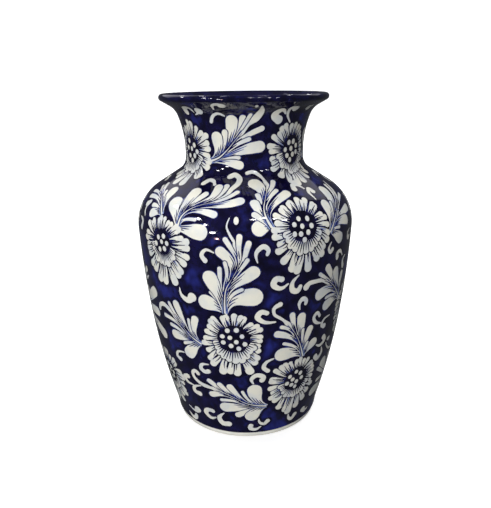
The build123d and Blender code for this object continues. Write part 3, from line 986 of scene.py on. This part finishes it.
class Finish:
    """A material under construction: nodes on the object's own coordinates, in metres."""

    def __init__(self, name, roughness):
        self.material = bpy.data.materials.new(name)
        self.material.use_nodes = True
        self.nodes = self.material.node_tree.nodes
        self.links = self.material.node_tree.links
        self.shader = self.nodes["Principled BSDF"]
        self.shader.inputs["Roughness"].default_value = roughness
        self.place = self.nodes.new("ShaderNodeTexCoord").outputs["Object"]

    def feed(self, socket, value):
        """Links an output to a socket, or sets the socket's own value."""
        if isinstance(value, bpy.types.NodeSocket):
            self.links.new(value, socket)
        else:
            socket.default_value = value

    def noise(self, scale, detail=3.0, stretch=(1, 1, 1)):
        mapping = self.nodes.new("ShaderNodeMapping")
        mapping.inputs["Scale"].default_value = stretch
        self.feed(mapping.inputs["Vector"], self.place)
        texture = self.nodes.new("ShaderNodeTexNoise")
        texture.inputs["Scale"].default_value = scale
        texture.inputs["Detail"].default_value = detail
        texture.inputs["Roughness"].default_value = 0.55
        self.feed(texture.inputs["Vector"], mapping.outputs["Vector"])
        return texture.outputs["Fac"]

    def span(self, value, low, high, start=0.0, end=1.0):
        """A value between low and high, carried smoothly to between start and end."""
        node = self.nodes.new("ShaderNodeMapRange")
        node.interpolation_type = "SMOOTHSTEP"
        for socket, number in zip(("From Min", "From Max", "To Min", "To Max"), (low, high, start, end)):
            node.inputs[socket].default_value = number
        self.feed(node.inputs["Value"], value)
        return node.outputs["Result"]

    def combine(self, kind, first, second):
        node = self.nodes.new("ShaderNodeMath")
        node.operation = kind
        self.feed(node.inputs[0], first)
        self.feed(node.inputs[1], second)
        return node.outputs[0]

    def mix(self, share, first, second):
        node = self.nodes.new("ShaderNodeMix")
        node.data_type = "RGBA"
        for index, value in ((0, share), (6, first), (7, second)):
            self.feed(node.inputs[index], value)
        return node.outputs[2]

    def colour(self, output):
        self.feed(self.shader.inputs["Base Color"], output)

    def bump(self, height, distance, strength=1.0):
        node = self.nodes.new("ShaderNodeBump")
        node.inputs["Distance"].default_value = distance
        node.inputs["Strength"].default_value = strength
        self.feed(node.inputs["Height"], height)
        self.feed(self.shader.inputs["Normal"], node.outputs["Normal"])

    def attribute(self, name):
        node = self.nodes.new("ShaderNodeAttribute")
        node.attribute_name = name
        return node.outputs["Fac"]


def glaze_waves(finish):
    """Slow waves left by throwing and by the run of the glaze, with a fine orange peel."""
    rings = finish.noise(26, 2, (0.35, 0.35, 2.2))
    pool = finish.noise(38, 2)
    peel = finish.noise(420, 1)
    height = finish.combine("ADD", rings, pool)
    height = finish.combine("ADD", height, finish.combine("MULTIPLY", peel, 0.05))
    finish.bump(height, 0.0005, 0.5)


def cobalt_ground():
    """Brushed cobalt: darkest round the white shapes, where the brush outlined them."""
    finish = Finish("cobalt_ground", PAINTED_GLOSS)
    patches = finish.span(finish.noise(42, 3.5, (1, 1, 0.8)), 0.47, 0.66)
    streaks = finish.span(finish.noise(210, 3, (1, 1, 0.45)), 0.25, 0.8, 0.35, 1.0)
    away = finish.span(finish.attribute("away"), 1.0, 4.2)
    share = finish.combine("MULTIPLY", finish.combine("MULTIPLY", patches, streaks), away)
    veil = finish.span(finish.noise(130, 3), 0.3, 0.75)
    dark = finish.mix(veil, linear(8, 6, 27), linear(20, 17, 58))
    finish.colour(finish.mix(share, dark, linear(36, 42, 120)))
    glaze_waves(finish)
    return finish.material


def brush_blue(name, dark, light):
    """Painted line or disc, thinner and lighter where the brush ran dry."""
    finish = Finish(name, PAINTED_GLOSS)
    share = finish.span(finish.noise(170, 3), 0.42, 0.72)
    finish.colour(finish.mix(share, linear(*dark), linear(*light)))
    glaze_waves(finish)
    return finish.material


def painted_white():
    """White glaze, a little bluish where the cobalt bled into its edges."""
    finish = Finish("painted_white", PAINTED_GLOSS)
    edge = linear(150, 160, 196)
    share = finish.span(finish.noise(70, 3), 0.35, 0.75)
    body = finish.mix(share, linear(226, 224, 211), linear(206, 210, 210))
    specks = finish.span(finish.noise(900, 2), 0.62, 0.8, 0.0, 0.25)
    body = finish.mix(specks, body, edge)
    rim = finish.span(finish.attribute("away"), 0.0, 0.4, 0.14, 0.0)
    finish.colour(finish.mix(rim, body, edge))
    glaze_waves(finish)
    return finish.material


def plain_white():
    """White glaze away from the painting."""
    finish = Finish("plain_white", 0.08)
    share = finish.span(finish.noise(60, 3), 0.35, 0.75)
    # painted lightening: these whites are a little lighter than the painted white, partly to offset the
    # shade on the foot band under the overhanging heel
    finish.colour(finish.mix(share, linear(238, 236, 226), linear(222, 222, 214)))
    glaze_waves(finish)
    return finish.material


def lip_blue():
    """Dark cobalt band, rubbed through to a paler blue along the crest."""
    finish = Finish("lip_blue", PAINTED_GLOSS)
    veil = finish.span(finish.noise(150, 3, (1, 1, 2)), 0.35, 0.75)
    dark = finish.mix(veil, linear(8, 7, 29), linear(18, 17, 58))
    worn = finish.span(finish.noise(240, 3), 0.62, 0.76, 0.0, 0.14)
    finish.colour(finish.mix(worn, dark, linear(70, 84, 160)))
    glaze_waves(finish)
    return finish.material


def clay(name, light, dark, roughness):
    finish = Finish(name, roughness)
    share = finish.span(finish.noise(300, 5), 0.35, 0.7)
    body = finish.mix(share, linear(*light), linear(*dark))
    grog = finish.span(finish.noise(1500, 2), 0.6, 0.75, 0.0, 0.5)
    finish.colour(finish.mix(grog, body, linear(112, 84, 66)))
    finish.bump(finish.noise(900, 4), 0.0004, 0.6)
    return finish.material


PAPER_GLOW = 0.68  # lifts the contact shadow, as the white cut-out background does


def studio_paper():
    finish = Finish("studio_paper", 0.75)
    share = finish.span(finish.noise(3, 2), 0.3, 0.7)
    finish.colour(finish.mix(share, linear(188, 188, 188), linear(192, 192, 192)))
    finish.shader.inputs["Emission Color"].default_value = (1, 1, 1, 1)
    finish.shader.inputs["Emission Strength"].default_value = PAPER_GLOW
    return finish.material


# --- Putting the vase together
WHITES = ("flower_petals", "flower_dots", "leaf_lobes", "scrolls")


def dress_vase():
    ground = cobalt_ground()
    white = painted_white()
    finishes = {
        "body_ground": ground,
        "neck_ground": ground,
        "flower_discs": brush_blue("disc_blue", (7, 5, 26), (22, 19, 58)),
        "flower_lines": brush_blue("line_blue", (11, 11, 46), (30, 36, 94)),
        "flower_washes": brush_blue("wash_blue", (140, 152, 186), (96, 112, 166)),
        "leaf_lines": brush_blue("leaf_blue", (14, 16, 60), (40, 52, 120)),
        "leaf_soft_lines": brush_blue("soft_blue", (46, 60, 128), (82, 102, 160)),
        "leaf_washes": brush_blue("leaf_wash_blue", (134, 150, 190), (90, 110, 168)),
    }
    for name, piece in painted_pieces().items():
        piece.data.materials.append(white if name in WHITES else finishes[name])
        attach(piece, "root")
        if name == "neck_ground":
            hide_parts("neck_glaze")
        elif name == "body_ground":
            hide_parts("body_glaze")
        else:
            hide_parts("body_glaze", "neck_glaze")
    plain = plain_white()
    for piece, node, slot, finish in (
        (lip_piece(), "lip_glaze", "blue_glaze", lip_blue()),
        (inside_piece(), "inside_glaze", "white_glaze", plain),
        (foot_band_piece(), "foot_glaze", "white_glaze", plain),
    ):
        piece.data.materials.append(finish)
        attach(piece, "root")
        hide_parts(node)
    # the bare clay is near white to match the pale foot, and is painted a little lighter still to offset the
    # shade under the overhanging heel
    bare = clay("bare_clay", (238, 232, 220), (226, 218, 204), 0.85)
    covered = clay("covered_clay", (196, 150, 120), (176, 128, 98), 0.8)
    for node, finish in (("foot_ring", bare), ("body", covered), ("neck", covered)):
        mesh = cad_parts[node].data
        mesh.materials.clear()
        mesh.materials.append(finish)


# --- Studio
CAMERA_AWAY = 0.5083
CAMERA_HEIGHT = 0.3140
CAMERA_PITCH = 17.49
CAMERA_ROLL = -0.64
FOCAL_LENGTH = 40.13


def set_camera():
    data = bpy.data.cameras.new("camera")
    data.lens = FOCAL_LENGTH
    data.sensor_width = 36
    data.clip_start = 0.01
    data.clip_end = 50
    camera = placed("camera", data)
    camera.location = (0, -CAMERA_AWAY, CAMERA_HEIGHT)
    pitch = math.radians(CAMERA_PITCH)
    aim = Vector((0, math.cos(pitch), -math.sin(pitch)))
    turn = aim.to_track_quat("-Z", "Y").to_matrix().to_4x4()
    turn = turn @ Matrix.Rotation(math.radians(CAMERA_ROLL), 4, "Z")
    camera.rotation_euler = turn.to_euler()
    bpy.context.scene.camera = camera


FLOOR_TURNS = 96
FLOOR_REACH = 2400
FLOOR_BEND = 800
BACKDROP_HEIGHT = 3400


def sweep():
    """Pale round floor that curves up all round into a backdrop, far from the vase."""
    bend = Arc(Vector((FLOOR_REACH - FLOOR_BEND, FLOOR_BEND)), FLOOR_BEND, -90, 0)
    profile = [Vector((0, 0)), Vector((500, 0))]
    profile += [bend.at(-90 + 7.5 * k) for k in range(13)] + [Vector((FLOOR_REACH, BACKDROP_HEIGHT))]
    floor = finished(turned("sweep", profile, FLOOR_TURNS, False), 60)
    floor.data.materials.append(studio_paper())
    floor.visible_glossy = False
    floor.visible_diffuse = False


def lamp(name, location, target, width, height, power, glint_only, colour=(1, 1, 1)):
    """Area lamp. One that is glint_only shows in the glaze and lights nothing; the others
    light the scene and don't show in the glaze."""
    data = bpy.data.lights.new(name, "AREA")
    data.shape = "RECTANGLE"
    data.size = width
    data.size_y = height
    data.energy = power
    data.color = colour
    light = placed(name, data)
    light.location = location
    light.rotation_euler = (Vector(target) - Vector(location)).to_track_quat("-Z", "Y").to_euler()
    light.visible_glossy = glint_only
    light.visible_diffuse = not glint_only


def crest_place(azimuth, pitch):
    """A place on the rounded lip, and its outward normal, by the pitch of the normal."""
    spot = TIP.at(pitch) * MM
    turn, flat = math.radians(azimuth), math.cos(math.radians(pitch))
    normal = (flat * math.sin(turn), -flat * math.cos(turn), math.sin(math.radians(pitch)))
    return (spot.x * math.sin(turn), -spot.x * math.cos(turn), spot.y), normal


def glint(name, place, width, height, power, away=0.9, colour=(1, 1, 1)):
    """A small lamp whose reflection shows at a place on the vase, seen from the camera."""
    point, normal = Vector(place[0]), Vector(place[1])
    view = (Vector((0, -CAMERA_AWAY, CAMERA_HEIGHT)) - point).normalized()
    bounce = 2 * normal.dot(view) * normal - view
    lamp(name, point + bounce * away, point, width, height, power, True, colour)


def light_studio():
    world = bpy.data.worlds.new("room")
    bpy.context.scene.world = world
    world.use_nodes = True
    room = world.node_tree.nodes["Background"]
    room.inputs["Color"].default_value = (0.62, 0.64, 0.68, 1)
    room.inputs["Strength"].default_value = 0.12
    vase, backdrop = (0, 0, 0.17), (0, 2.0, 0.8)
    for name, location, target, size, power in (
        ("key", (-0.95, -1.25, 1.6), vase, 1.1, 7),
        ("front", (-0.75, -1.6, 0.4), vase, 1.2, 33),
        ("fill", (1.35, -1.3, 0.3), vase, 1.2, 6.5),
        ("backdrop_light", (0, 0.6, 2.4), backdrop, 2.4, 80),
        ("top", (-0.2, -0.1, 1.6), vase, 1.0, 2.5),
        ("behind_right", (0.8, 1.4, 0.8), vase, 1.2, 17),
        ("behind_left", (-0.7, 1.5, 0.7), vase, 1.2, 17),
    ):
        lamp(name, location, target, size, size, power, False)
    for name, azimuth, climb, width, height, power in (
        ("window_low", -15, 204, 0.08, 0.05, 1.3),
        ("window_middle", -19, 210, 0.04, 0.05, 0.8),
        ("window_high", -23, 214, 0.06, 0.04, 0.9),
        ("window_side", -39, 222, 0.05, 0.05, 0.6),
        ("door", 19, 213, 0.05, 0.03, 0.4),
        ("lamp_row_left", 4, 263.6, 0.05, 0.02, 0.6),
        ("lamp_row_middle", 9, 263.2, 0.07, 0.02, 0.8),
        ("lamp_row_right", 15, 263.6, 0.05, 0.02, 0.6),
    ):
        glint(name, SKIN.place(azimuth, climb), width, height, power)
    glint("warm_lamp", SKIN.place(-13, 199.5), 0.035, 0.035, 0.4, colour=(1.0, 0.62, 0.6))
    wall = (0.86, 0.84, 0.9)
    glint("wall_left", SKIN.place(-48, 236), 0.7, 0.5, 1.1, colour=wall)
    glint("wall_right", SKIN.place(44, 236), 0.5, 0.35, 0.5, colour=wall)
    for azimuth in (-42, -26, -12, 12, 29, 45):
        glint("crest_lamp", crest_place(azimuth, 58), 0.07, 0.04, 0.25, away=1.1)


set_camera()
dress_vase()
sweep()
light_studio()
bpy.context.scene.view_settings.view_transform = "Standard"
